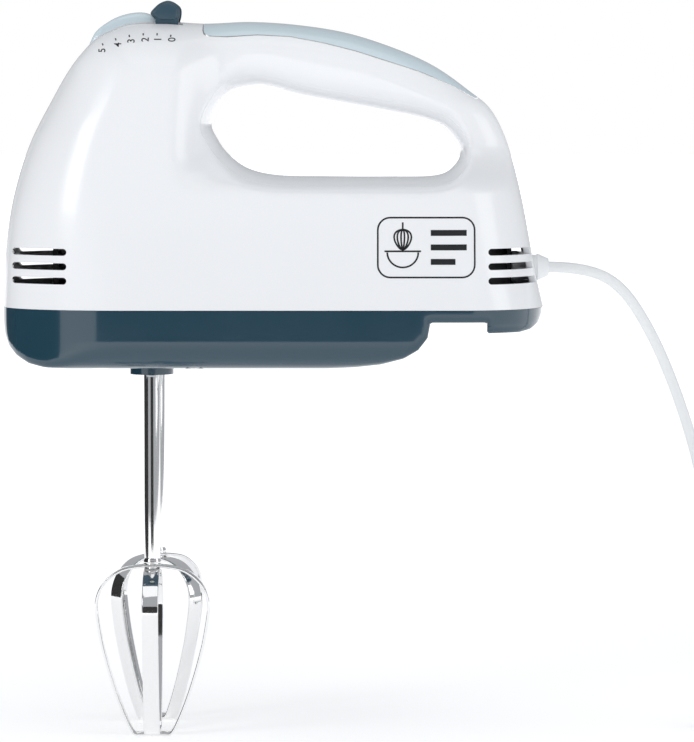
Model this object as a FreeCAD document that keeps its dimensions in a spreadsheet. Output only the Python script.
import FreeCAD, Part
import math
import os
import re
import Sketcher

# A hand-held electric mixer. The housing frame has x along the body (nose at -x), y across it, z up,
# with z = 0 where the white housing halves meet the coloured base. Lengths are millimetres.
# Every sub-part is made in the housing frame and then moved so that the row's origin is the grip.

SIZES = [
    ("grip_x", 25, "middle of the hand grip, along the body"),
    ("grip_z", 89, "middle of the hand grip, above the parting plane"),
    ("wall", 2.2, "moulded wall thickness"),
    ("gap", 0.3, "clearance between pieces that move"),
    ("running", 0.1, "radial clearance of a running fit"),
    ("body_half_length", 100, "half of the housing's length"),
    ("body_half_width", 42, "half of the housing's greatest width"),
    ("grip_half_width", 15, "half of the handle's width"),
    ("band_height", 4.5, "height of the base's band"),
    ("tub_depth", 22, "depth of the base under the motor"),
    ("floor_height", -157, "surface level under the beater tips"),
    ("slot_height", 2.5, "height of a vent slot"),
    ("slot_pitch", 5.2, "distance between vent slots"),
    ("motor_height", 12, "motor axis above the parting plane"),
    ("stack_start", 2, "front end of the lamination stack"),
    ("stack_length", 22, "length of the lamination stack"),
    ("stack_width", 47, "width of the lamination stack"),
    ("stack_height", 52, "height of the lamination stack"),
    ("armature_radius", 14.8, "outside of the armature"),
    ("air_gap", 0.5, "gap between armature and field"),
    ("armature_slots", 12, "slots in the armature"),
    ("motor_shaft_radius", 2.5, "motor shaft"),
    ("commutator_radius", 8, "outside of the commutator"),
    ("brush_x", 40, "place of the brushes along the shaft"),
    ("fan_radius", 18, "outside of the cooling fan"),
    ("fan_blades", 11, "blades of the cooling fan"),
    ("worm_starts", 2, "starts of the worm"),
    ("worm_length", 16, "length of the worm"),
    ("gear_module", 1, "module of worm and gears"),
    ("gear_teeth", 32, "teeth of each gear"),
    ("gear_width", 10, "face width of each gear"),
    ("backlash", 0.5, "thinning of each tooth for backlash"),
    ("beater_x", -44, "beater axes along the body"),
    ("beater_y", 20, "beater axes from the middle plane"),
    ("hub_radius", 5, "outside of a gear's drive sleeve"),
    ("beater_shaft_radius", 2.95, "beater shaft"),
    ("collar_radius", 8, "collar under the base"),
    ("strip_width", 5.5, "width of a beater's steel strip"),
    ("strip_thickness", 1, "thickness of a beater's steel strip"),
    ("head_radius", 22, "greatest radius of a beater's head"),
    ("head_height", 63, "height of a beater's head"),
    ("dial_x", -41.9, "centre of the speed slider's arc, along the body"),
    ("dial_z", 57.1, "centre of the speed slider's arc, height"),
    ("rail_crest", 51.9, "highest radius of the rail strip"),
    ("knob_angle", 3.8, "speed 0 from the vertical, degrees"),
    ("speed_step", 6, "angle between two speeds, degrees"),
    ("knob_half_angle", 6.2, "half of the knob's length, degrees"),
    ("knob_half_width", 9, "half of the knob's width"),
    ("knob_leg", 2.5, "thickness of the knob's sides"),
    ("knob_top", 55.6, "radius of the knob's top"),
    ("press_travel", 2.2, "travel of the knob when the beaters are released"),
    ("cord_diameter", 4.2, "mains cord"),
    ("cord_length", 1200, "mains cord, gland to plug"),
    ("cord_z", 14.4, "height of the cord's exit"),
    ("coil_x", 190, "centre of the stored coil"),
    ("coil_radius", 23, "mean radius of the stored coil"),
    ("coil_wide", 3, "turns side by side in the coil"),
    ("coil_high", 2, "layers of turns in the coil"),
    ("pin_radius", 2, "plug pin"),
    ("pin_length", 19, "plug pin"),
    ("pin_spacing", 19, "distance between the plug pins"),
]

doc = FreeCAD.newDocument("hand_mixer")
sheet = doc.addObject("Spreadsheet::Sheet", "Sizes")
for row, (alias, value, meaning) in enumerate(SIZES, start=1):
    sheet.set(f"A{row}", meaning)
    sheet.set(f"B{row}", str(value))
    sheet.setAlias(f"B{row}", alias)
doc.recompute()
SIZE = {alias: float(sheet.get(alias)) for alias, value, meaning in SIZES}
ALIASES = "|".join(sorted(SIZE, key=len, reverse=True))

Vector = FreeCAD.Vector
X, Y, Z = Vector(1, 0, 0), Vector(0, 1, 0), Vector(0, 0, 1)
ORIGIN_SHIFT = Vector(-SIZE["grip_x"], 0, -SIZE["grip_z"])
NODES = []


# ---------------------------------------------------------------- document helpers

def give(thing, prop, value):
    """Sets a property to a number, or binds it to the sheet when the value is a formula."""
    if isinstance(value, str):
        thing.setExpression(prop, re.sub(rf"\b({ALIASES})\b", r"Sizes.\1", value))
    else:
        setattr(thing, prop, value)


def turned(axis, place=(0, 0, 0), spin=0):
    """A placement at a point that takes +z to the axis, after a spin about z in degrees."""
    rotation = FreeCAD.Rotation(Z, axis).multiply(FreeCAD.Rotation(Z, spin))
    return FreeCAD.Placement(Vector(*place), rotation)


def node(thing, label, place=None):
    """Makes an object a sub-part with its own label, placed in the row's frame."""
    local = place or FreeCAD.Placement()
    thing.Placement = FreeCAD.Placement(ORIGIN_SHIFT, FreeCAD.Rotation()).multiply(local)
    thing.Label = label
    NODES.append(thing)
    return thing


def cylinder(radius, length, place, axis=Z):
    thing = doc.addObject("Part::Cylinder", "cylinder")
    give(thing, "Radius", radius)
    give(thing, "Height", length)
    thing.Placement = turned(axis, place)
    return thing


def cone(radius, end_radius, length, place, axis=Z):
    thing = doc.addObject("Part::Cone", "cone")
    give(thing, "Radius1", radius)
    give(thing, "Radius2", end_radius)
    give(thing, "Height", length)
    thing.Placement = turned(axis, place)
    return thing


def box(low, high):
    thing = doc.addObject("Part::Box", "box")
    thing.Length, thing.Width, thing.Height = (b - a for a, b in zip(low, high))
    thing.Placement.Base = Vector(*low)
    return thing


def joined(*things):
    thing = doc.addObject("Part::MultiFuse", "fuse")
    thing.Shapes = list(things)
    return thing


def grouped(*things):
    thing = doc.addObject("Part::Compound", "group")
    thing.Links = list(things)
    return thing


def cut(base, *tools):
    thing = doc.addObject("Part::Cut", "cut")
    thing.Base = base
    thing.Tool = tools[0] if len(tools) == 1 else joined(*tools)
    return thing


def rounded(base, radius, edges):
    """A primitive with some of its edges rounded."""
    thing = doc.addObject("Part::Fillet", "rounded")
    thing.Base = base
    thing.Edges = [(edge, radius, radius) for edge in edges]
    return thing


def feature(shape, label, place=None):
    thing = doc.addObject("Part::Feature", label)
    thing.Shape = shape
    return node(thing, label, place)


def new_body(name):
    return doc.addObject("PartDesign::Body", name)


def sketch(body, role, offset=0):
    """A sketch on one of the body's own planes, moved along the plane's normal."""
    thing = body.newObject("Sketcher::SketchObject", "profile")
    plane = next(f for f in body.Origin.OriginFeatures if f.Role == role)
    thing.AttachmentSupport = [(plane, "")]
    thing.MapMode = "FlatFace"
    thing.AttachmentOffset = FreeCAD.Placement(Vector(0, 0, offset), FreeCAD.Rotation())
    return thing


def add_polygon(profile, points):
    ring = list(points) + [points[0]]
    for a, b in zip(ring, ring[1:]):
        profile.addGeometry(Part.LineSegment(Vector(*a, 0), Vector(*b, 0)), False)


def add_rectangle(profile, left, low, right, high):
    add_polygon(profile, [(left, low), (right, low), (right, high), (left, high)])


def add_circle(profile, radius, centre=(0, 0)):
    """A circle whose radius is a number or a formula of the sheet."""
    circle = profile.addGeometry(Part.Circle(Vector(*centre, 0), Z, 1), False)
    profile.addConstraint(Sketcher.Constraint("Radius", circle, 1))
    last = profile.ConstraintCount - 1
    if isinstance(radius, str):
        give(profile, f"Constraints[{last}]", radius)
    else:
        profile.setDatum(last, radius)


def pad(body, profile, length):
    thing = body.newObject("PartDesign::Pad", "pad")
    thing.Profile = profile
    give(thing, "Length", length)
    return thing


def pocket(body, profile, length=None):
    """Cuts along the sketch's normal, or right through both ways."""
    thing = body.newObject("PartDesign::Pocket", "pocket")
    thing.Profile = profile
    if length is None:
        thing.Type = "ThroughAll"
        thing.Midplane = True
    else:
        thing.Reversed = True
        give(thing, "Length", length)
    return thing


def revolved(body, profile, axis):
    thing = body.newObject("PartDesign::Revolution", "revolution")
    thing.Profile = profile
    thing.ReferenceAxis = (profile, [axis])
    thing.Angle = 360
    return thing


def polar(body, features, axis_role, count):
    axis = next(f for f in body.Origin.OriginFeatures if f.Role == axis_role)
    thing = body.newObject("PartDesign::PolarPattern", "pattern")
    thing.Originals = features
    thing.Axis = (axis, [""])
    thing.Angle = 360
    give(thing, "Occurrences", count)
    body.Tip = thing
    return thing


# ---------------------------------------------------------------- geometry helpers

def box_shape(low, high):
    return Part.makeBox(*(b - a for a, b in zip(low, high)), Vector(*low))


def rod_shape(radius, start, end):
    run = Vector(*end) - Vector(*start)
    return Part.makeCylinder(radius, run.Length, Vector(*start), run)


def outline(*stretches):
    """A closed face in the x-z plane: two points are a straight line, more points a curve."""
    edges = []
    for stretch in stretches:
        points = [Vector(x, 0, z) for x, z in stretch]
        if len(points) == 2:
            edges.append(Part.makeLine(*points))
        else:
            curve = Part.BSplineCurve()
            curve.interpolate(points)
            edges.append(curve.toShape())
    return Part.Face(Part.Wire(edges))


def prism(face, low_y, high_y):
    """An x-z face given thickness from one y to another."""
    moved = face.copy()
    moved.translate(Y * low_y)
    return moved.extrude(Y * (high_y - low_y))


def dial_point(radius, degrees, y=0.0):
    angle = math.radians(degrees)
    return (SIZE["dial_x"] + radius * math.sin(angle), y, SIZE["dial_z"] + radius * math.cos(angle))


def sector(inner, outer, start, end, low_y, high_y):
    """A piece of a ring about the speed slider's centre; angles in degrees from the vertical."""
    middle = (start + end) / 2
    corners = [Vector(*dial_point(r, a)) for r, a in
               ((inner, start), (inner, middle), (inner, end), (outer, end), (outer, middle), (outer, start))]
    edges = [Part.Arc(*corners[:3]).toShape(), Part.makeLine(corners[2], corners[3]),
             Part.Arc(*corners[3:]).toShape(), Part.makeLine(corners[5], corners[0])]
    return prism(Part.Face(Part.Wire(edges)), low_y, high_y)


def tube_path(points, share=0.45):
    """Straight runs joined by tangent arcs, and the smallest arc radius."""
    spots = [Vector(*p) for p in points]
    edges, radii, start = [], [], spots[0]
    for before, corner, after in zip(spots, spots[1:], spots[2:]):
        come, go = (corner - before), (after - corner)
        reach = share * min(come.Length, go.Length)
        half_turn = come.getAngle(go) / 2
        radii.append(reach / math.tan(half_turn))
        come.normalize()
        go.normalize()
        arc_start, arc_end = corner - come * reach, corner + go * reach
        bisector = (go - come).normalize()
        centre = corner + bisector * (radii[-1] / math.cos(half_turn))
        middle = centre - bisector * radii[-1]
        edges.append(Part.LineSegment(start, arc_start).toShape())
        edges.append(Part.Arc(arc_start, middle, arc_end).toShape())
        start = arc_end
    edges.append(Part.LineSegment(start, spots[-1]).toShape())
    return Part.Wire(edges), radii


def tube(points, radius):
    path, radii = tube_path(points)
    first = path.Edges[0]
    ring = Part.Wire([Part.makeCircle(radius, Vector(*points[0]), first.tangentAt(first.FirstParameter))])
    solid = path.makePipeShell([ring], True, False)
    return solid, path, radii


def spring(radius, wire_radius, height, turns):
    """A round-wire coil spring standing on z = 0, its ends just inside its height."""
    helix = Part.makeHelix((height - 2 * wire_radius) / turns, height - 2 * wire_radius, radius)
    ring = Part.Wire([Part.makeCircle(wire_radius, Vector(radius, 0, 0), Y)])
    solid = Part.Wire(helix.Edges).makePipeShell([ring], True, True)
    solid.translate(Z * wire_radius)
    return solid


# ---------------------------------------------------------------- the housing's form

def curve_through(points):
    """A smooth curve through points sorted by their first number, by cubic spans."""
    xs, ys = zip(*points)
    last = len(xs) - 1
    slopes = []
    for i in range(last + 1):
        a, b = max(i - 1, 0), min(i + 1, last)
        slopes.append((ys[b] - ys[a]) / (xs[b] - xs[a]))

    def height(x):
        if x <= xs[0]:
            return ys[0] + slopes[0] * (x - xs[0])
        if x >= xs[-1]:
            return ys[-1] + slopes[-1] * (x - xs[-1])
        i = max(k for k in range(last) if xs[k] <= x)
        span = xs[i + 1] - xs[i]
        t = (x - xs[i]) / span
        return ((1 + 2 * t) * (1 - t) ** 2 * ys[i] + t * (1 - t) ** 2 * span * slopes[i]
                + t * t * (3 - 2 * t) * ys[i + 1] + t * t * (t - 1) * span * slopes[i + 1])
    return height


# The side outline: the nose and the tail give x for each height, the top gives the height for each x.
HALF = SIZE["body_half_length"]
nose_x = curve_through([(0, -HALF), (20, -98.8), (40, -95.8), (60, -89.6), (76, -81.5), (90, -73.5),
                        (100, -66)])
tail_x = curve_through([(0, HALF), (12, 97.2), (25, 94.8), (40, 91.9), (55, 88.2), (65, 84.8), (74, 79.5),
                        (80, 72)])
top_z = curve_through([(-80, 86), (-72, 93.5), (-66, 99), (-60, 102), (-52, 104.6), (-40, 105), (-25, 104.2),
                       (-8, 104.8), (10, 103.6), (28, 100.6), (46, 94.8), (62, 88), (74, 81), (82, 73.5),
                       (88, 62)])
# The opening for the hand, once round.
HAND_HOLE = [(-22.5, 68.3), (-20.5, 61.8), (-16, 55.8), (-8.8, 50.8), (2.2, 48.4), (20, 48), (42, 47.9),
             (60.5, 48.4), (67.4, 52.4), (69.2, 58.2), (64.4, 65.6), (57, 69.2), (42.5, 72.3), (27.8, 75),
             (10.3, 78.2), (0.7, 80.9), (-6.7, 81.7), (-16.1, 79)]


def closed_curve(points, steps):
    """Points along a smooth closed curve through the given ones."""
    count, out = len(points), []
    for i in range(count):
        a, b, c, d = (points[(i + k - 1) % count] for k in range(4))
        for step in range(steps):
            t = step / steps
            out.append(tuple(0.5 * (2 * q + (r - p) * t + (2 * p - 5 * q + 4 * r - s) * t ** 2
                                    + (3 * q - p - 3 * r + s) * t ** 3) for p, q, r, s in zip(a, b, c, d)))
    return out


HOLE_RING = closed_curve(HAND_HOLE, 5)


def beyond_hole(x, z):
    """Distance from the hand opening's edge, negative inside the opening."""
    nearest, inside = math.inf, False
    for (ax, az), (bx, bz) in zip(HOLE_RING, HOLE_RING[1:] + HOLE_RING[:1]):
        ex, ez = bx - ax, bz - az
        t = max(0.0, min(1.0, ((x - ax) * ex + (z - az) * ez) / (ex * ex + ez * ez)))
        nearest = min(nearest, math.hypot(x - ax - t * ex, z - az - t * ez))
        if (az > z) != (bz > z) and x < ax + (z - az) * ex / ez:
            inside = not inside
    return -nearest if inside else nearest


def eased(value, start, end):
    t = max(0.0, min(1.0, (value - start) / (end - start)))
    return t * t * (3 - 2 * t)


def half_width(x, z, inset=0.0):
    """Half of the housing's width at a point of the side view, for the outside or an inset skin.

    Each edge of the side view rounds the form over its own length; the shortest share rules."""
    full = SIZE["body_half_width"] - 0.09 * z - 0.0007 * z * z
    full += (SIZE["grip_half_width"] - full) * eased(x, -38, -14) * eased(z, 42, 60)
    top_round = 20 - 7 * eased(x, -34, -10)
    hole_round = 7.5 + 5.5 * eased(z, 52, 70)
    hole_round += (5 - hole_round) * eased(-x, 8, 22)
    shares = [(x - nose_x(z) - inset) / (48 - 0.2 * z), (tail_x(z) - x - inset) / 34,
              (top_z(x) - z - inset) / top_round, (beyond_hole(x, z) - inset) / hole_round]
    sharpness = 14
    share = -math.log(sum(math.exp(-sharpness * max(-3, min(s, 4))) for s in shares)) / sharpness
    share = min(1.0, share)
    fullness = 3.5
    bulge = 1 - (1 - share) ** fullness if share > 0 else fullness * share / (1 - 2 * share)
    return (full - inset) * bulge


def housing_half(inset=0.0, bottom=0.0):
    """The solid form on the +y side of the middle plane, above a given height."""
    columns, rows = 60, 36
    low_x, high_x, low_z, high_z = -108, 108, -8, 112
    grid = []
    for i in range(columns + 1):
        x = low_x + (high_x - low_x) * i / columns
        heights = (low_z + (high_z - low_z) * j / rows for j in range(rows + 1))
        grid.append([Vector(x, half_width(x, z, inset), z) for z in heights])
    skin = Part.BSplineSurface()
    skin.interpolate(grid)
    prism_down = skin.toShape().extrude(Y * -150)
    return prism_down.common(box_shape((-110, 0, bottom), (110, 80, 120))).Solids[0]


def mirrored(shape):
    return shape.mirror(Vector(), Y)


# ---------------------------------------------------------------- housing

SHELL_SCREWS = [(-88, 40), (-20, 90), (64, 76.5), (87, 36)]  # x, z
BASE_SCREWS = [(-62, 31, -12), (-28, 33, -12), (22, 29, -3)]  # x, y, height of the boss
SLOT_MIDDLE = 15.7
FRONT_SLOT = (-95, -74)
REAR_SLOT_START = 78.5
REAR_SLOT_INNER_Y = 11
TRIM_EDGE = [(-25.2, 99.6), (-17.4, 99.2), (-5.4, 99.9), (6.5, 99.3), (19.2, 96.9), (30.3, 94.1),
             (42.3, 90.3), (54.2, 86.5), (66.2, 81.4), (75.6, 76)]


def above_trim_edge(drop=0.0, widen=0.0):
    """The block above the lower edge of the handle trim, over the trim's length."""
    edge = [(x, z - drop) for x, z in TRIM_EDGE]
    edge[0] = (edge[0][0] - widen, edge[0][1])
    edge[-1] = (edge[-1][0] + widen, edge[-1][1] - widen)
    face = outline(edge, [edge[-1], (edge[-1][0], 125)], [(edge[-1][0], 125), (edge[0][0], 125)],
                   [(edge[0][0], 125), edge[0]])
    return prism(face, -60, 60)


def vent_slots():
    """Round-ended slots through one side, near the nose and round the tail."""
    tools, radius = [], SIZE["slot_height"] / 2
    for k in (-1, 0, 1):
        z = SLOT_MIDDLE + k * SIZE["slot_pitch"]
        for start, end, depth in ((*FRONT_SLOT, 9), (REAR_SLOT_START, 112, REAR_SLOT_INNER_Y)):
            low, high = start + radius, end - radius
            tools.append(box_shape((low, depth, z - radius), (high, 60, z + radius)))
            tools += [rod_shape(radius, (x, depth, z), (x, 60, z)) for x in (low, high)]
    return tools


def knob_slot(low_y, high_y):
    """The arc-shaped opening that one side of the speed knob slides in."""
    reach = SIZE["knob_half_angle"] + 1
    travel = 5 * SIZE["speed_step"]
    first, last = SIZE["knob_angle"] - travel - reach, SIZE["knob_angle"] + reach
    return sector(36, 64, first, last, low_y, high_y)


def make_shells(outer, inner):
    wall, gap = SIZE["wall"], SIZE["gap"]
    cavity = inner.cut(above_trim_edge(wall, wall))
    skin = outer.cut([above_trim_edge(), cavity])
    bosses = [rod_shape(3.2, (x, 0, z), (x, 60, z)).common(outer) for x, z in SHELL_SCREWS]
    knob_side = SIZE["knob_half_width"]
    tools = vent_slots() + [
        rod_shape(4.7, (88, 0, SIZE["cord_z"]), (112, 0, SIZE["cord_z"])),
        knob_slot(knob_side - SIZE["knob_leg"] - gap, knob_side + gap)]
    right = skin.fuse(bosses).cut(tools)
    left = mirrored(right)
    for x, z in SHELL_SCREWS:
        surface = half_width(x, z)
        right = right.cut([rod_shape(1.4, (x, -1, z), (x, 60, z)),
                           rod_shape(2.4, (x, surface - 4, z), (x, 60, z))])
        left = left.cut(rod_shape(1.2, (x, 1, z), (x, -9, z)))
    feature(biggest(left), "shell_left")
    feature(biggest(right), "shell_right")


def biggest(shape):
    return max(shape.Solids, key=lambda solid: solid.Volume)


def make_shell_screws():
    """Countersunk screws that pull the two halves together from the right-hand side."""
    screws = []
    for x, z in SHELL_SCREWS:
        head = half_width(x, z) - 4
        screws.append(joined(cone(2.3, 1.2, 1.4, (x, head + 1.4, z), -1 * Y),
                             cylinder(1.2, head + 8, (x, head, z), -1 * Y)))
    node(grouped(*screws), "shell_screws")


def make_trim(outer):
    whole = outer.fuse(mirrored(outer)).removeSplitter()
    feature(biggest(whole.common(above_trim_edge())), "handle_trim")


def make_rail(outer):
    """The crescent-shaped strip that the speed knob runs along."""
    crest = [(48.6, -33), (50, -27.8), (51.3, -20.8), (SIZE["rail_crest"], -15.2), (51.7, -8), (50.6, -3.6),
             (48.6, -0.6)]
    points = [dial_point(radius, angle) for radius, angle in crest]
    upper = [(x, z) for x, y, z in points]
    lower = [(x, z) for x, y, z in (dial_point(44, -0.6), dial_point(44, -33))]
    face = outline(upper, [upper[-1], lower[0]], lower, [lower[1], upper[0]])
    side = SIZE["knob_half_width"] - SIZE["knob_leg"] - 0.8
    strip = prism(face, -side, side)
    feature(biggest(strip.cut([outer, mirrored(outer)])), "nose_rail")


def base_outline(inset=0.0):
    """The housing's plan at the parting plane, as a face at z = 0."""
    low, high = nose_x(0) + inset, tail_x(0) - inset
    spread = [low + (high - low) * (1 - math.cos(math.pi * k / 24)) / 2 for k in range(25)]
    side = [Vector(x, max(half_width(x, 0, inset), 0), 0) for x in spread]
    side[0].y = side[-1].y = 0
    curve = Part.BSplineCurve()
    curve.interpolate(side)
    near = curve.toShape()
    return Part.Face(Part.Wire([near, mirrored(near)]))


def tub_section(half, depth, inset):
    """The tub's cross-section: upright walls that turn under in a wide quarter ellipse."""
    turn_z, flat_y = -12 + inset, half - 12
    steps = 8
    quarter = []
    for k in range(steps + 1):
        a = math.pi / 2 * k / steps
        quarter.append(Vector(0, flat_y + 12 * math.cos(a), turn_z - (depth + turn_z) * math.sin(a)))
    curve = Part.BSplineCurve()
    curve.interpolate(quarter)
    top = 2
    far = [Vector(0, -p.y, p.z) for p in quarter]
    other = Part.BSplineCurve()
    other.interpolate(far)
    corners = [Vector(0, half, top), quarter[0], quarter[-1], far[-1], far[0], Vector(0, -half, top)]
    edges = [Part.makeLine(corners[0], corners[1]), curve.toShape(), Part.makeLine(corners[2], corners[3]),
             other.toShape(), Part.makeLine(corners[4], corners[5]), Part.makeLine(corners[5], corners[0])]
    return Part.Face(Part.Wire(edges)).extrude(X * 230).translated(Vector(-115, 0, 0))


def make_tub():
    """The coloured base: a band all round, a deep tub under motor and gears, and a heel at the tail."""
    wall, band, depth = SIZE["wall"], -SIZE["band_height"], -SIZE["tub_depth"]
    side = outline([(-101, 0), (-100.4, -6), (-98.6, -12), (-95.4, -16.4), (-88.2, -20.4), (-75, depth)],
                   [(-75, depth), (20, depth)],
                   [(20, depth), (39.5, -20.2), (48.5, -17.6), (53.8, -14.4), (57, -10), (57.6, band)],
                   [(57.6, band), (78, band)], [(78, band), (78, -8.4)], [(78, -8.4), (92, -8.4)],
                   [(92, -8.4), (97, -7), (99.8, -3.6), (101, 0)], [(101, 0), (-101, 0)])
    hollow = outline([(-98.6, 1), (-97, -8), (-93.4, -14.6), (-87, -18.2), (-75, depth + wall)],
                     [(-75, depth + wall), (20, depth + wall)],
                     [(20, depth + wall), (38.5, -17.9), (47.5, -15.2), (52.2, -12), (54.8, -8),
                      (55.4, band + wall)],
                     [(55.4, band + wall), (80.2, band + wall)], [(80.2, band + wall), (80.2, -6.2)],
                     [(80.2, -6.2), (92, -6.2)], [(92, -6.2), (96, -4), (98.6, 1)], [(98.6, 1), (-98.6, 1)])
    half = SIZE["body_half_width"]
    plan = base_outline().extrude(Z * -30)
    outside = plan.common(prism(side, -60, 60)).common(tub_section(half, SIZE["tub_depth"], 0))
    plan_inside = base_outline(wall).extrude(Z * -30).fuse(base_outline(wall).extrude(Z * 2))
    inside = plan_inside.common(prism(hollow, -60, 60))
    inside = inside.common(tub_section(half - wall, SIZE["tub_depth"] - wall, 0))
    tub = outside.cut(inside)
    added = []
    for x, y, height in BASE_SCREWS:
        added += [rod_shape(4, (x, s * y, -30), (x, s * y, height)).common(outside) for s in (-1, 1)]
    cradle_top = SIZE["motor_height"] - SIZE["stack_height"] / 2 - 0.1
    for start in (SIZE["stack_start"] + 2, SIZE["stack_start"] + SIZE["stack_length"] - 6):
        added.append(box_shape((start, -21, depth + 1), (start + 4, 21, cradle_top)))
    tub = tub.fuse(added)
    tools = []
    for side_sign in (-1, 1):
        centre = (SIZE["beater_x"], side_sign * SIZE["beater_y"])
        tools.append(rod_shape(SIZE["collar_radius"], (*centre, -30), (*centre, -16)))
        for x, y, height in BASE_SCREWS:
            tools.append(rod_shape(1.6, (x, side_sign * y, -30), (x, side_sign * y, 1)))
            tools.append(rod_shape(3.2, (x, side_sign * y, -30), (x, side_sign * y, -19.6)))
    feature(biggest(tub.cut(tools)), "base_tub")
    screws = []
    for x, y, height in BASE_SCREWS:
        for side_sign in (-1, 1):
            spot = (x, side_sign * y)
            screws.append(joined(cylinder(3, 1.8, (*spot, -21.4)), cylinder(1.4, height + 21, (*spot, -20))))
    node(grouped(*screws), "base_screws")


def make_collars():
    """Pressed-in bushes that the two drive sleeves turn in, standing a little under the base."""
    for label, height, low in (("socket_collars", 8, -24), ("gear_bushes", 5.5, 21.5)):
        radius = "collar_radius" if label == "socket_collars" else 7
        bore = "hub_radius + running"
        rings = []
        for side_sign in (-1, 1):
            place = (SIZE["beater_x"], side_sign * SIZE["beater_y"], low)
            rings.append(cut(cylinder(radius, height, place), cylinder(bore, height, place)))
        node(grouped(*rings), label)


# ---------------------------------------------------------------- motor

def motor_place(x=0.0):
    return FreeCAD.Placement(Vector(x, 0, SIZE["motor_height"]), FreeCAD.Rotation())


def make_stator():
    body = new_body("stator")
    profile = sketch(body, "YZ_Plane")
    across, up = SIZE["stack_width"] / 2, SIZE["stack_height"] / 2
    corner = 4
    add_polygon(profile, [(-across + corner, -up), (across - corner, -up), (across, -up + corner),
                          (across, up - corner), (across - corner, up), (-across + corner, up),
                          (-across, up - corner), (-across, -up + corner)])
    add_circle(profile, "armature_radius + air_gap")
    pad(body, profile, "stack_length")
    windows = sketch(body, "YZ_Plane")
    for left in (-17.5, 8.5):
        for low in (-21, 11):
            add_rectangle(windows, left, low, left + 9, low + 10)
    pocket(body, windows)
    bolts = sketch(body, "YZ_Plane")
    for y in (-20.75, 20.75):
        add_circle(bolts, 1.8, (y, 0))
    pocket(body, bolts)
    node(body, "motor_stator", motor_place(SIZE["stack_start"]))
    bolt_length = 68
    rods = [cylinder(1.7, bolt_length, (-14, y, SIZE["motor_height"]), X) for y in (-20.75, 20.75)]
    heads = [cylinder(3, 2, (-16, y, SIZE["motor_height"]), X) for y in (-20.75, 20.75)]
    node(grouped(*(joined(*pair) for pair in zip(rods, heads))), "motor_bolts")


def make_field_coils():
    """Two wound coils, one round each pole, their end turns standing out of the stack."""
    start, end = SIZE["stack_start"], SIZE["stack_start"] + SIZE["stack_length"]
    for label, up in (("field_coil_upper", 1), ("field_coil_lower", -1)):
        low, high = sorted((SIZE["motor_height"] + up * 15.9, SIZE["motor_height"] + up * 20.6))
        outer = box((start - 7, -17.2, low), (end + 7, 17.2, high))
        outer = rounded(outer, 5, (1, 3, 5, 7))
        inner = box((start - 0.4, -8.7, low - 1), (end + 0.4, 8.7, high + 1))
        node(cut(outer, inner), label)


def make_brackets():
    """Bridges over both ends of the stack that hold the shaft's bearings."""
    middle = SIZE["motor_height"]
    start, end = SIZE["stack_start"], SIZE["stack_start"] + SIZE["stack_length"]
    ends = (("front_bracket", (-14, -10), (-10.5, start)), ("rear_bracket", (50, 54), (end, 50.5)))
    for label, strap, leg in ends:
        bridge = box((strap[0], -23.5, middle - 7), (strap[1], 23.5, middle + 7))
        legs = [box((leg[0], low, middle - 5), (leg[1], low + 5.2, middle + 5)) for low in (-23.5, 18.3)]
        seat = cylinder(5, 12, (strap[0] - 3, 0, middle), X)
        bolts = [cylinder(1.8, 90, (-20, y, middle), X) for y in (-20.75, 20.75)]
        node(cut(joined(bridge, *legs), seat, *bolts), label)
    bearings = []
    for start in (-15, 49, -67):
        length = 6 if start > -60 else 5
        bearings.append(cut(cylinder(5, length, (start, 0, middle), X),
                            cylinder("motor_shaft_radius + running", length, (start, 0, middle), X)))
    node(grouped(*bearings), "shaft_bearings")
    node(grouped(cylinder(4.5, 2, (-69, 0, middle), X)), "thrust_pad")


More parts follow.
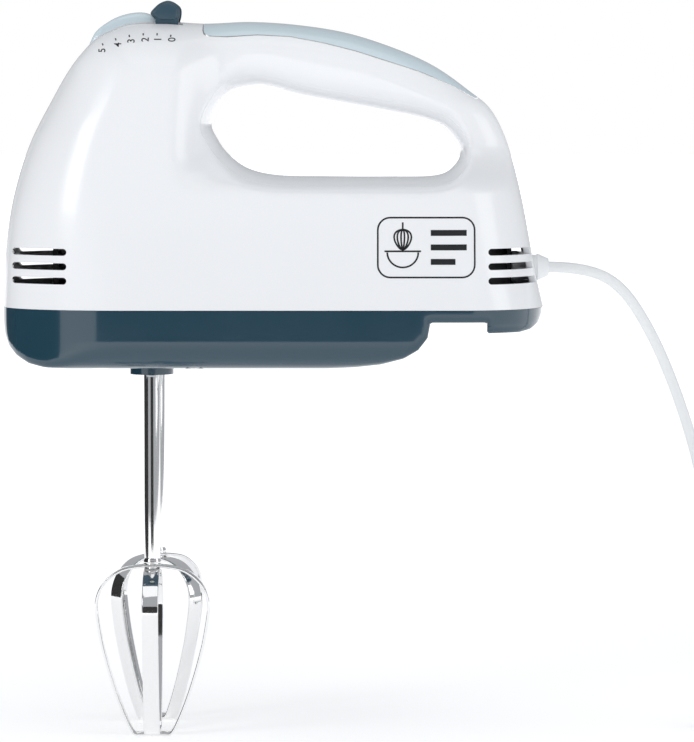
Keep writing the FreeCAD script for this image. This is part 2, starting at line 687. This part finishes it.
def make_rotor():
    shaft = new_body("shaft")
    profile = sketch(shaft, "XZ_Plane")
    radius = SIZE["motor_shaft_radius"]
    add_polygon(profile, [(-66.7, 0), (57, 0), (57, radius - 0.5), (56.5, radius), (-66.2, radius),
                          (-66.7, radius - 0.5)])
    revolved(shaft, profile, "H_Axis")
    node(shaft, "motor_shaft", motor_place())

    core = new_body("core")
    disc = sketch(core, "YZ_Plane")
    add_circle(disc, "armature_radius")
    add_circle(disc, "motor_shaft_radius")
    pad(core, disc, "stack_length")
    slot = sketch(core, "YZ_Plane")
    add_circle(slot, 1.7, (0, 12))
    hollow = pocket(core, slot)
    mouth = sketch(core, "YZ_Plane")
    add_rectangle(mouth, -0.6, 12, 0.6, 16)
    opening = pocket(core, mouth)
    polar(core, [hollow, opening], "X_Axis", "armature_slots")
    node(core, "armature_core", motor_place(SIZE["stack_start"]))

    middle, start = SIZE["motor_height"], SIZE["stack_start"]
    end = start + SIZE["stack_length"]
    bundles = [cylinder(13.4, 5.5, (start - 5.5, 0, middle), X), cylinder(13.4, 5.5, (end, 0, middle), X)]
    for k in range(int(SIZE["armature_slots"])):
        angle = 2 * math.pi * k / SIZE["armature_slots"]
        place = (start - 1, 12 * math.sin(angle), middle + 12 * math.cos(angle))
        bundles.append(cylinder(1.5, end - start + 2, place, X))
    node(cut(joined(*bundles), cylinder("motor_shaft_radius", 60, (-20, 0, middle), X)), "armature_winding")

    bars = new_body("bars")
    ring = sketch(bars, "YZ_Plane")
    add_circle(ring, "commutator_radius")
    add_circle(ring, "motor_shaft_radius")
    pad(bars, ring, 12)
    groove = sketch(bars, "YZ_Plane")
    add_rectangle(groove, -0.25, 6.8, 0.25, 9)
    grooves = pocket(bars, groove)
    polar(bars, [grooves], "X_Axis", "armature_slots")
    node(bars, "commutator", motor_place(34))

    fan = new_body("fan")
    plate = sketch(fan, "YZ_Plane")
    add_circle(plate, "fan_radius")
    add_circle(plate, "motor_shaft_radius")
    pad(fan, plate, 1.4)
    hub = sketch(fan, "YZ_Plane")
    add_circle(hub, 6)
    add_circle(hub, "motor_shaft_radius")
    pad(fan, hub, 8)
    blade = sketch(fan, "YZ_Plane", 1)
    add_polygon(blade, [(-0.6, 5.5), (0.6, 5.5), (4.6, 17), (3.2, 17.3)])
    blades = pad(fan, blade, 7)
    polar(fan, [blades], "X_Axis", "fan_blades")
    node(fan, "cooling_fan", motor_place(-25))


def make_brush_gear():
    middle, x = SIZE["motor_height"], SIZE["brush_x"]
    holders, brushes, springs = [], [], []
    for up in (-1, 1):
        def spread(low, high):
            return sorted((middle + up * low, middle + up * high))
        low, high = spread(9.5, 27)
        low_in, high_in = spread(9, 25.5)
        holders.append(cut(box((x - 4.5, -5, low), (x + 4.5, 5, high)),
                           box((x - 3, -3.5, low_in), (x + 3, 3.5, high_in))))
        low, high = spread(SIZE["commutator_radius"] + 0.3, 16)
        brushes.append(box((x - 2.9, -3.4, low), (x + 2.9, 3.4, high)))
        coil = spring(2.2, 0.35, 9.4, 5)
        base = middle + 16.05 if up > 0 else middle - 25.45
        springs.append(coil.translated(Vector(x, 0, base)))
    node(grouped(*holders), "brush_holders")
    node(grouped(*brushes), "carbon_brushes")
    feature(Part.makeCompound(springs), "brush_springs")


# ---------------------------------------------------------------- worm and gears

PRESSURE_ANGLE = 20

def make_worm():
    """A two-start right-hand worm on the motor shaft: trapezoidal threads swept round a core."""
    module, starts = SIZE["gear_module"], int(SIZE["worm_starts"])
    pitch = math.pi * module
    lead = pitch * starts
    pitch_radius = SIZE["beater_y"] - module * SIZE["gear_teeth"] / 2
    root, tip = pitch_radius - 1.15 * module, pitch_radius + module
    slope = math.tan(math.radians(PRESSURE_ANGLE))
    half_pitch = pitch / 4 - SIZE["backlash"] / 2
    half_tip, half_root = half_pitch - slope * module, half_pitch + slope * 1.15 * module
    length, extra = SIZE["worm_length"], 2 * lead
    start = SIZE["beater_x"] - length / 2
    # a gap of the thread faces each gear's axis, so the thread itself is half a pitch further on
    first = SIZE["beater_x"] + pitch / 2 - extra
    core = rod_shape(root, (start, 0, 0), (start + length, 0, 0))
    sink = 0.3
    corners = [(root - sink, -half_root), (tip, -half_tip), (tip, half_tip), (root - sink, half_root)]
    profile = Part.makePolygon([Vector(r, 0, z) for r, z in corners + corners[:1]])
    helix = Part.Wire(Part.makeHelix(lead, length / 2 + extra + pitch * starts, root).Edges)
    thread = helix.makePipeShell([profile], True, True)
    threads = []
    for k in range(starts):
        copy = thread.copy()
        copy.Placement = turned(X, (first, 0, 0), 90 + 360 * k / starts)
        threads.append(copy)
    trimmed = [t.common(rod_shape(tip + 1, (start, 0, 0), (start + length, 0, 0))) for t in threads]
    worm = core.fuse(trimmed)
    bore = rod_shape(SIZE["motor_shaft_radius"], (start - 1, 0, 0), (start + length + 1, 0, 0))
    feature(biggest(worm.cut(bore)), "worm", motor_place())


def gear_outline(radius_pitch, spin, height):
    """The gear's toothed outline at one height, turned by spin."""
    module, teeth = SIZE["gear_module"], int(SIZE["gear_teeth"])
    thin = SIZE["backlash"] / 2
    slope = math.tan(math.radians(PRESSURE_ANGLE))
    half_pitch = math.pi * module / 4 - thin
    tip, root = radius_pitch + module, radius_pitch - 1.25 * module
    half_tip, half_root = half_pitch - slope * module, half_pitch + slope * 1.25 * module
    points = []
    for k in range(teeth):
        middle = 2 * math.pi * k / teeth + spin
        for radius, half in ((root, -half_root), (tip, -half_tip), (tip, half_tip), (root, half_root)):
            angle = middle + half / radius
            points.append(Vector(radius * math.cos(angle), radius * math.sin(angle), height))
    return Part.makePolygon(points + points[:1])


def make_gears():
    """Two helical gears, one each side of the worm, each on a sleeve that drives a beater."""
    module, width = SIZE["gear_module"], SIZE["gear_width"]
    pitch_radius = module * SIZE["gear_teeth"] / 2
    worm_radius = SIZE["beater_y"] - pitch_radius
    twist_rate = module * SIZE["worm_starts"] / (2 * worm_radius) / pitch_radius
    low = SIZE["motor_height"] - width / 2
    lower, upper = (gear_outline(pitch_radius, rise * twist_rate, low + width / 2 + rise)
                    for rise in (-width / 2, width / 2))
    flanks = [Part.makeRuledSurface(a, b) for a, b in zip(lower.Edges, upper.Edges)]
    skin = Part.Shell(flanks + [Part.Face(lower), Part.Face(upper)])
    skin.sewShape()
    rim = Part.Solid(skin)
    if rim.Volume < 0:
        rim.reverse()
    sleeve_low, sleeve_high = -23.5, 27.5
    sleeve = rod_shape(SIZE["hub_radius"], (0, 0, sleeve_low), (0, 0, sleeve_high))
    bore = rod_shape(SIZE["beater_shaft_radius"] + SIZE["running"], (0, 0, sleeve_low), (0, 0, sleeve_high))
    ring = [(9.8 * math.cos(math.pi * k / 3), 9.8 * math.sin(math.pi * k / 3)) for k in range(6)]
    lightening = [rod_shape(2.2, (x, y, low), (x, y, low + width)) for x, y in ring]
    gear = rim.fuse(sleeve).cut([bore] + lightening)
    for label, side_sign in (("gear_left", -1), ("gear_right", 1)):
        place = Vector(SIZE["beater_x"], side_sign * SIZE["beater_y"], 0)
        feature(biggest(gear), label, FreeCAD.Placement(place, FreeCAD.Rotation()))


def make_gear_frame():
    """The frame that holds the worm's front bearing and the tops of the drive sleeves."""
    plate_low, plate_high, low = 24, 27, -16
    plate = new_body("frame_plate")
    profile = sketch(plate, "XY_Plane", plate_low)
    half = [(-80, 20), (-70, 31), (-33, 36), (-24, 36), (-24, 29), (-28.5, 26)]
    add_polygon(profile, [(x, -y) for x, y in half] + [(x, y) for x, y in reversed(half)])
    pad(plate, profile, plate_high - plate_low)
    posts = []
    for x, y, height in BASE_SCREWS[:2]:
        posts += [cut(cylinder(3, plate_low - height, (x, s * y, height)),
                      cylinder(1.5, 9, (x, s * y, height)))
                  for s in (-1, 1)]
    web = box((-67, -8, low), (-62, 8, plate_low))
    apron = box((-80, -20, low), (-78, 20, plate_low))
    openings = [cylinder(7, 9, (SIZE["beater_x"], s * SIZE["beater_y"], 20)) for s in (-1, 1)]
    guide_x = dial_point(24, SIZE["knob_angle"])[0]
    openings += [cylinder(2.2, 9, (guide_x, 0, 20)), cylinder(5, 20, (-70, 0, SIZE["motor_height"]), X)]
    node(cut(joined(plate, web, apron, *posts), *openings), "gear_frame")


# ---------------------------------------------------------------- speed slider and beater release

def make_selector():
    """The speed knob, the carrier that it slides in, and the switch that the carrier's wiper works."""
    middle, half = SIZE["knob_angle"], SIZE["knob_half_angle"]
    side, leg, gap = SIZE["knob_half_width"], SIZE["knob_leg"], SIZE["gap"]
    roof = SIZE["rail_crest"] + SIZE["press_travel"] + 0.25
    bridge_low, bridge_high = 34, 36.5
    knob = sector(roof, SIZE["knob_top"], middle - half + 1, middle + half - 1, -side, side)
    ends = 1.2
    for low in (-side, side - leg):
        knob = knob.fuse(sector(bridge_low, SIZE["knob_top"] - ends, middle - half, middle + half,
                                low, low + leg))
    knob = knob.fuse(sector(roof, SIZE["knob_top"] - ends, middle - half, middle + half, -side, side))
    knob = knob.fuse(sector(bridge_low, bridge_high, middle - half + 2, middle + half - 2, -side, side))
    knob = knob.fuse(rod_shape(1.8, dial_point(24, middle), dial_point(bridge_high, middle)))
    low, high = SIZE["knob_top"] - 0.5, SIZE["knob_top"] + 1
    grooves = [sector(low, high, middle + angle - 0.35, middle + angle + 0.35, -side, side)
               for angle in (-3.6, -1.8, 0, 1.8, 3.6)]
    feature(biggest(knob.cut(grooves)), "speed_knob")

    frame_side = side + gap + 1.6
    carrier = sector(35.5, 41, middle - half - 1.8, middle + half + 1.8, -frame_side, frame_side)
    carrier = carrier.cut(sector(30, 45, middle - half - 0.4, middle + half + 0.4, -side - gap, side + gap))
    feature(carrier, "speed_carrier")
    wiper = sector(31.5, 37.5, middle - 1.6, middle + 1.6, frame_side, frame_side + 0.8)
    finger = sector(32, 34, middle - 0.8, middle + 0.8, frame_side + 0.4, frame_side + 1)
    feature(wiper.fuse(finger), "switch_wiper")

    board_y = frame_side + 1.7
    board = box((-63, board_y, 76), (-30, board_y + 1.6, 92))
    screw_hole = cylinder(1.3, 6, (-50, board_y - 1, 78.5), Y)
    node(cut(board, screw_hole), "switch_board")
    pads = [sector(31.5, 34.5, middle - k * SIZE["speed_step"] - 2, middle - k * SIZE["speed_step"] + 2,
                   board_y - 0.35, board_y) for k in range(6)]
    feature(Part.makeCompound(pads), "switch_contacts")
    upright = box((-60, board_y + 1.6, 66), (-40, board_y + 3.6, 86))
    foot = box((-60, board_y + 1.6, 64), (-40, 24, 66))
    bracket_hole = cylinder(1.1, 6, (-50, board_y, 78.5), Y)
    node(cut(joined(upright, foot), bracket_hole), "switch_bracket")


def make_release():
    """The rod and cross bar that push both beaters out, the return spring, and the two thrust caps."""
    x, y = SIZE["beater_x"], SIZE["beater_y"]
    top = dial_point(24, SIZE["knob_angle"])
    bar_low, bar_high = 33.3, 36.3
    bar = rounded(box((x - 4.5, -y - 4.5, bar_low), (x + 8, y + 4.5, bar_high)), 3, (1, 3, 5, 7))
    rod = cylinder(2, top[2] - SIZE["gap"] - bar_low, (top[0], 0, bar_low))
    guide = cylinder(2, bar_low - 21, (top[0], 0, 21))
    node(joined(bar, rod, guide), "ejector_bar")
    coil = spring(3.3, 0.45, bar_low - 28, 4)
    feature(coil, "eject_spring", FreeCAD.Placement(Vector(top[0], 0, 27.5), FreeCAD.Rotation()))
    for label, side_sign in (("thrust_cap_left", -1), ("thrust_cap_right", 1)):
        spot = (x, side_sign * y)
        pin = cylinder("beater_shaft_radius", 10.8, (*spot, 20.3))
        head = cylinder(4.6, 2.2, (*spot, 30.8))
        node(joined(pin, head), label)


# ---------------------------------------------------------------- beaters

def strip_loop(low, high):
    """A closed loop of steel strip in the x-z plane, drawn from its outline and half its height."""
    half = [(0, 1), (5.3, 1), (14.4, 0.985), (17.6, 0.936), (20.7, 0.862), (22, 0.786), (21.1, 0.69),
            (18.7, 0.519), (15.9, 0.348), (12.6, 0.19), (9, 0.063), (6.6, 0.004), (0, 0)]
    scale = SIZE["head_radius"] / 22
    outer = [(r * scale, low + (high - low) * share) for r, share in half]
    thickness = SIZE["strip_thickness"]
    inner = []
    for i, (r, z) in enumerate(outer):
        if i in (0, len(outer) - 1):
            inner.append((r, z - thickness if i == 0 else z + thickness))
            continue
        dr, dz = outer[i + 1][0] - outer[i - 1][0], outer[i + 1][1] - outer[i - 1][1]
        length = math.hypot(dr, dz)
        inner.append((r + thickness * dz / length, z - thickness * dr / length))
    wires = []
    for line in (outer, inner):
        ring = line + [(-r, z) for r, z in reversed(line[1:-1])]
        curve = Part.BSplineCurve()
        curve.interpolate([Vector(r, 0, z) for r, z in ring], PeriodicFlag=True)
        wires.append(Part.Wire([curve.toShape()]))
    face = Part.Face(wires[0]).cut(Part.Face(wires[1]))
    wide = SIZE["strip_width"]
    return prism(face, -wide / 2, wide / 2)


def make_beaters():
    """Each beater: a shaft and two crossed strip loops, riveted together at the head."""
    floor, top = SIZE["floor_height"], SIZE["head_height"]
    thickness = SIZE["strip_thickness"]
    shaft_radius = SIZE["beater_shaft_radius"]
    for side, side_sign, phase in (("left", -1, 0), ("right", 1, 45)):
        spot = Vector(SIZE["beater_x"], side_sign * SIZE["beater_y"], floor)
        body = new_body("beater_shaft")
        profile = sketch(body, "XZ_Plane")
        low, high = top - 2 * thickness - 2, 20 - floor
        under = top - 2 * thickness - 0.5
        add_polygon(profile, [(0, low), (4.4, low), (4.4, under), (shaft_radius, under + 0.1),
                              (shaft_radius, top + 0.2), (4.4, top + 0.3), (4.4, top + 2.6),
                              (shaft_radius, top + 4), (shaft_radius, high - 1), (shaft_radius - 1, high),
                              (0, high)])
        revolved(body, profile, "V_Axis")
        node(body, f"beater_shaft_{side}", FreeCAD.Placement(spot, FreeCAD.Rotation()))
        hole = rod_shape(shaft_radius + 0.05, (0, 0, top - 8), (0, 0, top + 5))
        for name, turn, inset in (("outer", 0, 0), ("inner", 90, thickness + 0.15)):
            loop = strip_loop(inset, top - inset).cut(hole)
            place = FreeCAD.Placement(spot, FreeCAD.Rotation(Z, phase + turn))
            feature(biggest(loop), f"beater_loop_{name}_{side}", place)


# ---------------------------------------------------------------- cord, leads and plug

# The cord from the gland down to the surface beside the mixer, then towards the coil.
CORD_ROUTE = [(102, 0, 14.4), (114, 0, 14.4), (128.5, -1, 8.5), (140, -2.5, -9.5), (148.5, -4.5, -29.5),
              (155.5, -7, -51), (160.5, -10.5, -74), (163, -15, -98), (164.5, -20, -120), (168, -25, -138),
              (176, -29, -150), (188, -30.5, -154.9), (200, -28.5, -154.9)]


def make_cord():
    radius = SIZE["cord_diameter"] / 2
    solid, path, radii = tube(CORD_ROUTE, radius)
    print("cord radii:", " ".join(f"{r:.0f}" for r in radii))
    expected = math.pi * radius ** 2 * path.Length
    print(f"cord tube: length {path.Length:.0f}, volume {solid.Volume:.0f}, section x length {expected:.0f}")
    feature(solid, "power_cord")

    # the stored length, wound flat: one closed ring of the coil's outer shape
    coil_half_width = SIZE["coil_wide"] * radius
    coil_height = 2 * SIZE["coil_high"] * radius
    low = SIZE["floor_height"] + 0.8
    body = new_body("coil")
    profile = sketch(body, "XZ_Plane")
    left, right, corner = SIZE["coil_radius"] - coil_half_width, SIZE["coil_radius"] + coil_half_width, 1.5
    add_polygon(profile, [(left + corner, 0), (right - corner, 0), (right, corner),
                          (right, coil_height - corner), (right - corner, coil_height),
                          (left + corner, coil_height), (left, coil_height - corner), (left, corner)])
    revolved(body, profile, "V_Axis")
    node(body, "cord_coil", FreeCAD.Placement(Vector(SIZE["coil_x"], 0, low), FreeCAD.Rotation()))

    around = SIZE["coil_x"] - right - 0.9, SIZE["coil_x"] - left + 1.4
    strap = box((around[0], -3.5, low - 0.8), (around[1], 3.5, low + coil_height + 0.8))
    hollow = box((around[0] + 0.8, -4, low), (around[1] - 0.8, 4, low + coil_height))
    node(cut(strap, hollow), "coil_tie")
    turns = (SIZE["cord_length"] - path.Length) / (2 * math.pi * SIZE["coil_radius"])
    print(f"coil: {turns:.1f} turns")

    # the plug lies beside the coil, its pins pointing away along +y
    plug_x, plug_y = SIZE["coil_x"] + SIZE["coil_radius"], 23
    plug_z = low + coil_height - radius
    plug_thickness = 12.4
    grip = outline([(-4, 0), (-4.4, 8), (-7, 15), (-12.8, 24), (-13.2, 35)], [(-13.2, 35), (13.2, 35)],
                   [(13.2, 35), (12.8, 24), (7, 15), (4.4, 8), (4, 0)], [(4, 0), (-4, 0)])
    plug = FreeCAD.Placement(Vector(plug_x, plug_y, plug_z + plug_thickness / 2), FreeCAD.Rotation(X, -90))
    feature(grip.extrude(Y * plug_thickness), "plug_body", plug)
    pins = []
    for side_sign in (-1, 1):
        spot = (plug_x + side_sign * SIZE["pin_spacing"] / 2, plug_y + 35, plug_z)
        pins.append(cylinder("pin_radius", "pin_length", spot, Y))
    node(grouped(*pins), "plug_pins")


def make_cord_entry():
    """Strain-relief gland through the tail wall, and the clamp that holds the cord inside."""
    height = SIZE["cord_z"]
    body = new_body("gland")
    profile = sketch(body, "XZ_Plane")
    add_polygon(profile, [(73, 0), (73, 3.2), (88.5, 3.2), (88.5, 6), (90.5, 6), (90.5, 4.6), (97.4, 4.6),
                          (97.9, 5), (102, 3.2), (102, 0)])
    revolved(body, profile, "H_Axis")
    node(body, "cord_gland", FreeCAD.Placement(Vector(0, 0, height), FreeCAD.Rotation()))
    bar = box((75, -9, height + 3.3), (81, 9, height + 7))
    saddle = box((75, -9, height - 7.5), (81, 9, height - 3.3))
    for label, block in (("clamp_bar", bar), ("clamp_saddle", saddle)):
        holes = [cylinder(1.6, 30, (78, y, height - 15)) for y in (-6, 6)]
        node(cut(block, *holes), label)
    screws = [joined(cylinder(1.5, 14.5, (78, y, height - 7.5)), cylinder(2.8, 1.6, (78, y, height + 7)))
              for y in (-6, 6)]
    node(grouped(*screws), "clamp_screws")


def make_leads():
    """The two insulated leads from the clamp, one to the switch and one to the upper brush."""
    height = SIZE["cord_z"]
    live = [(72.5, 1.5, height), (67, 3, height + 2), (61, 10, 24), (51, 20, 32), (30, 25, 37), (6, 26.5, 39),
            (-13, 26, 40.5), (-28, 24.5, 45.5), (-34.5, 22, 56), (-35.5, 19, 67), (-35.5, 16.8, 77),
            (-35.5, 15.4, 87)]
    neutral = [(72.5, -1.5, height), (67, -3, height + 2), (60, -8, 24), (52.5, -8.5, 32), (45, -7, 37)]
    feature(tube(live, 0.9)[0], "live_lead")
    feature(tube(neutral, 0.9)[0], "neutral_lead")


def make_small_internals(inner_form):
    capacitor = rounded(box((30, -33, -8), (46, -25, 6)), 1.5, (1, 3, 5, 7))
    node(capacitor, "suppression_capacitor")
    outer_skin, inner_skin = inner_form(8), inner_form(9.4)
    band = outer_skin.cut(inner_skin).common(box_shape((74, 0.2, 5), (110, 60, 26)))
    baffle = biggest(band).fuse(biggest(mirrored(band))).fuse(box_shape((86.4, -7, 5), (88, 7, 26)))
    baffle = baffle.cut([rod_shape(6.6, (70, 0, SIZE["cord_z"]), (110, 0, SIZE["cord_z"]))])
    feature(biggest(baffle), "vent_baffle")


# ---------------------------------------------------------------- build, check and write

def build_all():
    outer, inner = housing_half(), housing_half(SIZE["wall"], -1)
    make_shells(outer, inner)
    make_shell_screws()
    make_trim(outer)
    make_rail(outer)
    make_tub()
    make_collars()
    make_stator()
    make_field_coils()
    make_brackets()
    make_rotor()
    make_brush_gear()
    make_worm()
    make_gears()
    make_gear_frame()
    make_selector()
    make_release()
    make_beaters()
    make_cord()
    make_cord_entry()
    make_leads()
    make_small_internals(housing_half)


build_all()
doc.recompute()
for thing in doc.Objects:
    if "Invalid" in thing.State or "Error" in thing.State:
        raise RuntimeError(f"{thing.Name} ({thing.Label}) failed: {thing.State}")
os.makedirs("parts", exist_ok=True)
for thing in NODES:
    shape = thing.Shape
    if shape.isNull() or not shape.isValid() or not shape.Solids:
        raise RuntimeError(f"{thing.Label} has no valid solid")
    shape.exportStep(f"parts/{thing.Label}.step")
print(len(NODES), "sub-parts written")
